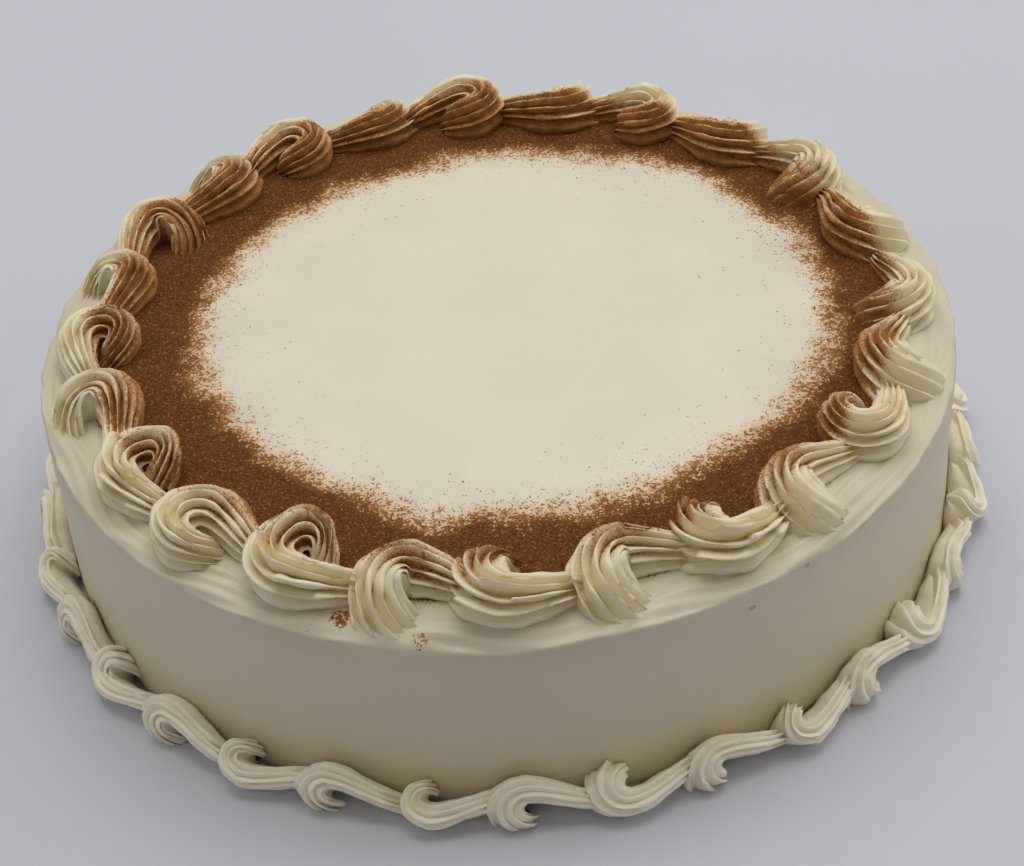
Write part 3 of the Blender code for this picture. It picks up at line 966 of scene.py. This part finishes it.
def dust_top_swirls(piece, ring_radius, cinnamon):
    """Store how thickly the cinnamon lies on the swirls: most on their inner sides."""
    points = read_points(piece.data)
    normals = read_normals(piece.data)
    groove = np.empty(len(points), dtype=np.float32)
    piece.data.attributes["groove"].data.foreach_get("value", groove)
    reach = np.hypot(points[:, 0], points[:, 1])
    angle = np.arctan2(points[:, 1], points[:, 0])
    inward = -(normals[:, 0] * points[:, 0] + normals[:, 1] * points[:, 1]) / reach
    heavy = 0.0022 * np.cos(angle - DUST_SIDE) + 0.0014 * round_trip(angle, (3, 7, 11, 17), 32)
    near = ease((ring_radius + DUST_REACH + heavy - reach) / 0.0110)
    facing = ease((inward + 0.45) / 1.3)
    foot = ease((CAKE_HIGH.z + 0.0055 - points[:, 2]) / 0.0045)
    dust = near * (0.17 + 0.62 * facing + 0.66 * groove + 0.50 * foot * facing)
    dust += 0.16 * near * ripple(points, 0.016, 31)
    store(piece.data, "dust", np.clip(dust, 0.0, 1.0))


def make_top_border(body, piping, cinnamon):
    """Pipe the ring on the top, as two pieces: the swirls that curl out and those that curl in."""
    pitch = math.tau / TOP_SWIRLS
    length = TAIL_LENGTH_SHARE * pitch * piping.top_ring_radius
    base = body.height + GAP - SINK
    around_steps = (piping.top_ridges - 1) * TOP_RIDGE_STEPS + ROPE_FOOT_STEPS
    blank = rope_blank("top_rope_blank", around_steps, TOP_STEPS_ALONG)
    draw = random.Random(SEED)
    groups = {-1.0: [], 1.0: []}
    for index in range(TOP_SWIRLS):
        size = swirl_size(
            draw,
            piping.top_half_width,
            piping.top_swirl_height,
            TOP_TAIL_END_WIDTH,
            index in FULL_CURL_SWIRLS,
            RAGGED_TIPS if index in RAGGED_SWIRLS else NEAT_TIPS,
        )
        size.update(pivot_offset=piping.pivot_offset, length=length, crossing=TOP_TAIL_CROSSING)
        side = -1.0 if index % 2 == 0 else 1.0
        angle = crowded(TOP_FIRST_ANGLE + pitch * index)

        def lay(points, angle=angle, side=side):
            return lay_on_top(points, angle, side, piping.top_ring_radius, base)

        name = f"top_swirl_{index}"
        piece = roll_swirl(blank, name, size, piping.top_ridges, piping.groove_depth, lay)
        groups[side].append(piece)
    bpy.data.objects.remove(blank)
    material = piped_icing_material("piped_icing", piping.colour, cinnamon)
    for side, name in ((1.0, "top_swirls_outward"), (-1.0, "top_swirls_inward")):
        piece = join_swirls(groups[side], name)
        soften_swirls(piece, 1.0, 11)
        dust_top_swirls(piece, piping.top_ring_radius, cinnamon)
        finish_swirls(piece, "top_border", material)


def make_foot_border(body, piping, cinnamon):
    """Pipe the ring of small swirls in the corner at the foot of the side."""
    wall = body.radius + GAP
    pitch = math.tau / FOOT_SWIRLS
    length = TAIL_LENGTH_SHARE * pitch * (wall + piping.foot_reach / 2)
    around_steps = (piping.foot_ridges - 1) * FOOT_RIDGE_STEPS + ROPE_FOOT_STEPS
    blank = rope_blank("foot_rope_blank", around_steps, FOOT_STEPS_ALONG)
    draw = random.Random(SEED)
    groups = {-1.0: [], 1.0: []}
    for index in range(FOOT_SWIRLS):
        size = swirl_size(
            draw,
            piping.foot_half_width,
            FOOT_SWIRL_HEIGHT,
            FOOT_TAIL_END_WIDTH,
            index in FOOT_FULL_CURL_SWIRLS,
            FOOT_TIPS,
        )
        size.update(pivot_offset=FOOT_PIVOT_OFFSET, length=length, crossing=FOOT_TAIL_CROSSING)
        size.update(fan=FOOT_FAN_SHARE * size["fan"], lift=0.0)
        size.update(start_turn=max(size["start_turn"], FOOT_CURL_START_TURN))
        side = 1.0 if index % 2 == 0 else -1.0
        angle = FOOT_FIRST_ANGLE + pitch * index

        def lay(points, angle=angle, side=side):
            return lay_at_foot(points, angle, side, piping, wall)

        name = f"foot_swirl_{index}"
        piece = roll_swirl(blank, name, size, piping.foot_ridges, piping.groove_depth, lay)
        groups[side].append(piece)
    bpy.data.objects.remove(blank)
    # The lighter colour at the foot is painted light.
    material = piped_icing_material("foot_icing", piping.foot_painted_light_colour, cinnamon)
    for side, name in ((1.0, "foot_swirls_outward"), (-1.0, "foot_swirls_inward")):
        piece = join_swirls(groups[side], name)
        soften_swirls(piece, 0.7, 21)
        # The painted groove shade is weaker on the foot border.
        weaken(piece.data, "groove", FOOT_GROOVE_SHARE)
        store(piece.data, "dust", np.zeros(len(piece.data.vertices)))
        finish_swirls(piece, "foot_border", material)


def finish_swirls(piece, node, material):
    """Give the swirls their material and tie them to their solid."""
    piece.data.materials.clear()
    piece.data.materials.append(material)
    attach(piece, "root")
    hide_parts(node)


# The loose cinnamon

GRAIN_FACES = np.array(
    [(0, 2, 4), (2, 1, 4), (1, 3, 4), (3, 0, 4), (2, 0, 5), (1, 2, 5), (3, 1, 5), (0, 3, 5)]
)
GRAIN_POINTS = np.array(
    [(1, 0, 0), (-1, 0, 0), (0, 1, 0), (0, -1, 0), (0, 0, 1), (0, 0, -1)], dtype=float
)


def grain_places(draw, body, piping, cinnamon, count):
    """Draw places on the top: thick in the band, thinning out towards the middle."""
    inner = cinnamon.inner_radius
    outer = piping.top_ring_radius - 0.006
    places = []
    while len(places) < count:
        angle = draw.uniform(0.0, math.tau, count)
        radius = np.sqrt(draw.uniform((inner - 0.040) ** 2, outer ** 2, count))
        wander = 0.004 * round_trip(angle, (3, 5, 8, 13, 21), 41)
        depth = radius + wander - inner
        chance = 0.75 * ease((depth + 0.009) / 0.016) + 0.06 * ease((depth + 0.032) / 0.034)
        keep = draw.uniform(0.0, 1.0, count) < chance
        kept = np.stack([radius * np.cos(angle), radius * np.sin(angle)], axis=1)[keep]
        kept[:, 0] = kept[:, 0] / BAND_SQUEEZE + cinnamon.shift
        kept[:, 1] += cinnamon.shift_back
        near = np.hypot(kept[:, 0], kept[:, 1]) < outer + 0.002
        places.extend(kept[near])
    flat = np.array(places[:count])
    return np.column_stack([flat, np.full(count, body.height)])


def make_grains(body, piping, cinnamon):
    """Scatter the loose grains, all in one mesh."""
    draw = np.random.default_rng(SEED)
    count = cinnamon.grains
    places = grain_places(draw, body, piping, cinnamon, count)
    sizes = cinnamon.grain_size * draw.uniform(0.30, 1.0, count) ** 1.4 / 2.0
    shapes = GRAIN_POINTS[None] * draw.uniform(0.55, 1.25, (count, 6, 1))
    turns = draw.uniform(0.0, math.tau, count)
    cos, sin = np.cos(turns)[:, None], np.sin(turns)[:, None]
    x = shapes[:, :, 0] * cos - shapes[:, :, 1] * sin
    y = shapes[:, :, 0] * sin + shapes[:, :, 1] * cos
    shapes = np.stack([x, y, shapes[:, :, 2] * 0.8], axis=2) * sizes[:, None, None]
    points = places[:, None, :] + shapes
    points[:, :, 2] += 0.25 * sizes[:, None]
    faces = (GRAIN_FACES[None] + 6 * np.arange(count)[:, None, None]).reshape(-1, 3)
    mesh = bpy.data.meshes.new("cinnamon_grains")
    mesh.from_pydata(points.reshape(-1, 3).tolist(), [], faces.tolist())
    store(mesh, "tone", np.repeat(draw.uniform(0.0, 1.0, count), 6))
    piece = bpy.data.objects.new("cinnamon_grains", mesh)
    bpy.context.scene.collection.objects.link(piece)
    mesh.materials.append(grain_material(cinnamon))
    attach(piece, "root")


# The stage

CAMERA_PAN = math.radians(-0.211)
CAMERA_TILT = math.radians(1.070)
CAMERA_ROLL = math.radians(4.600)
CAMERA_LENS = 70.3


def make_camera(stage):
    """Set the camera where the photograph was taken from."""
    camera = bpy.data.cameras.new("camera")
    camera.sensor_width = 36.0
    camera.lens = CAMERA_LENS
    camera.clip_start = 0.01
    holder = bpy.data.objects.new("camera", camera)
    bpy.context.scene.collection.objects.link(holder)
    spot = Vector((0.0, -math.cos(stage.elevation), math.sin(stage.elevation))) * stage.distance
    look = Matrix.Rotation(math.radians(90.0) - stage.elevation, 4, "X")
    turn = (
        Matrix.Rotation(CAMERA_PAN, 4, "Y")
        @ Matrix.Rotation(CAMERA_TILT, 4, "X")
        @ Matrix.Rotation(-CAMERA_ROLL, 4, "Z")
    )
    holder.matrix_world = Matrix.Translation(spot) @ look @ turn
    bpy.context.scene.camera = holder


def add_light(name, place, size, power, colour):
    """Add a soft square light that faces the cake."""
    light = bpy.data.lights.new(name, "AREA")
    light.shape = "SQUARE"
    light.size = size
    light.energy = power
    light.color = colour
    holder = bpy.data.objects.new(name, light)
    bpy.context.scene.collection.objects.link(holder)
    holder.location = place
    holder.rotation_euler = (-Vector(place)).to_track_quat("-Z", "Y").to_euler()


def make_stage(stage):
    """Lay the floor, light the cake and set the camera."""
    deselect()
    bpy.ops.mesh.primitive_plane_add(size=6.0, location=(0.0, 0.0, 0.0))
    floor = bpy.context.object
    floor.name = "floor"
    shader = Shader("floor_paint", 0.85)
    base = tuple(stage.floor_colour)
    tone = shader.span(shader.noise(0.30, 3.0), 0.3, 0.7)
    shader.link(shader.mix(tone, shade(base, 0.97), base), shader.surface.inputs["Base Color"])
    floor.data.materials.append(shader.material)
    add_light("overhead", (0.10, 0.35, 1.20), 1.2, 10.5, (1.0, 0.985, 0.96))
    add_light("right", (1.3, 0.25, 0.65), 0.9, 4.0, (1.0, 0.98, 0.95))
    add_light("left", (-1.3, 0.10, 0.65), 0.9, 2.4, (0.97, 0.98, 1.0))
    add_light("front", (0.25, -1.1, 0.22), 0.8, 0.45, (1.0, 0.98, 0.94))
    world = bpy.data.worlds.new("room")
    world.use_nodes = True
    background = world.node_tree.nodes["Background"]
    background.inputs["Color"].default_value = (1.0, 0.94, 0.83, 1.0)
    background.inputs["Strength"].default_value = 0.22
    bpy.context.scene.world = world
    bpy.context.scene.view_settings.view_transform = "Standard"
    make_camera(stage)


# Operators


class CAKE_OT_body(bpy.types.Operator):
    """Model the iced body and its band of cinnamon"""

    bl_idname = "cake.body"
    bl_label = "Iced body"

    def execute(self, context):
        scene = context.scene
        make_body(scene.cake_body, scene.cake_cinnamon)
        return {"FINISHED"}


class CAKE_OT_top_border(bpy.types.Operator):
    """Pipe the ring of swirls on the top"""

    bl_idname = "cake.top_border"
    bl_label = "Top border"

    def execute(self, context):
        scene = context.scene
        make_top_border(scene.cake_body, scene.cake_piping, scene.cake_cinnamon)
        return {"FINISHED"}


class CAKE_OT_foot_border(bpy.types.Operator):
    """Pipe the ring of small swirls at the foot"""

    bl_idname = "cake.foot_border"
    bl_label = "Foot border"

    def execute(self, context):
        scene = context.scene
        make_foot_border(scene.cake_body, scene.cake_piping, scene.cake_cinnamon)
        return {"FINISHED"}


class CAKE_OT_grains(bpy.types.Operator):
    """Scatter the loose grains of cinnamon"""

    bl_idname = "cake.grains"
    bl_label = "Loose cinnamon"

    def execute(self, context):
        scene = context.scene
        make_grains(scene.cake_body, scene.cake_piping, scene.cake_cinnamon)
        return {"FINISHED"}


class CAKE_OT_stage(bpy.types.Operator):
    """Lay the floor, light the cake and set the camera"""

    bl_idname = "cake.stage"
    bl_label = "Stage"

    def execute(self, context):
        make_stage(context.scene.cake_stage)
        return {"FINISHED"}


class CAKE_PT_panel(bpy.types.Panel):
    """The steps that build the cake, in order"""

    bl_label = "Iced Pumpkin Cake"
    bl_idname = "CAKE_PT_panel"
    bl_space_type = "VIEW_3D"
    bl_region_type = "UI"
    bl_category = "Cake"

    def draw(self, context):
        """List the operators and the settings that they read."""
        for operator in OPERATORS:
            self.layout.operator(operator.bl_idname)
        for group in SETTINGS:
            box = self.layout.box()
            for name in SETTINGS[group].__annotations__:
                box.prop(getattr(context.scene, group), name)


OPERATORS = (
    CAKE_OT_stage,
    CAKE_OT_body,
    CAKE_OT_top_border,
    CAKE_OT_foot_border,
    CAKE_OT_grains,
)
SETTINGS = {
    "cake_body": CakeBodySettings,
    "cake_piping": PipingSettings,
    "cake_cinnamon": CinnamonSettings,
    "cake_stage": StageSettings,
}


def register():
    """Register the settings, the operators and the panel."""
    for name, group in SETTINGS.items():
        bpy.utils.register_class(group)
        setattr(bpy.types.Scene, name, PointerProperty(type=group))
    for item in (*OPERATORS, CAKE_PT_panel):
        bpy.utils.register_class(item)


def unregister():
    """Take out all that register put in."""
    for item in (CAKE_PT_panel, *reversed(OPERATORS)):
        bpy.utils.unregister_class(item)
    for name, group in SETTINGS.items():
        delattr(bpy.types.Scene, name)
        bpy.utils.unregister_class(group)


def main():
    """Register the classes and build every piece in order."""
    register()
    bpy.ops.cake.stage()
    bpy.ops.cake.body()
    bpy.ops.cake.top_border()
    bpy.ops.cake.foot_border()
    bpy.ops.cake.grains()


if __name__ == "__main__":
    main()
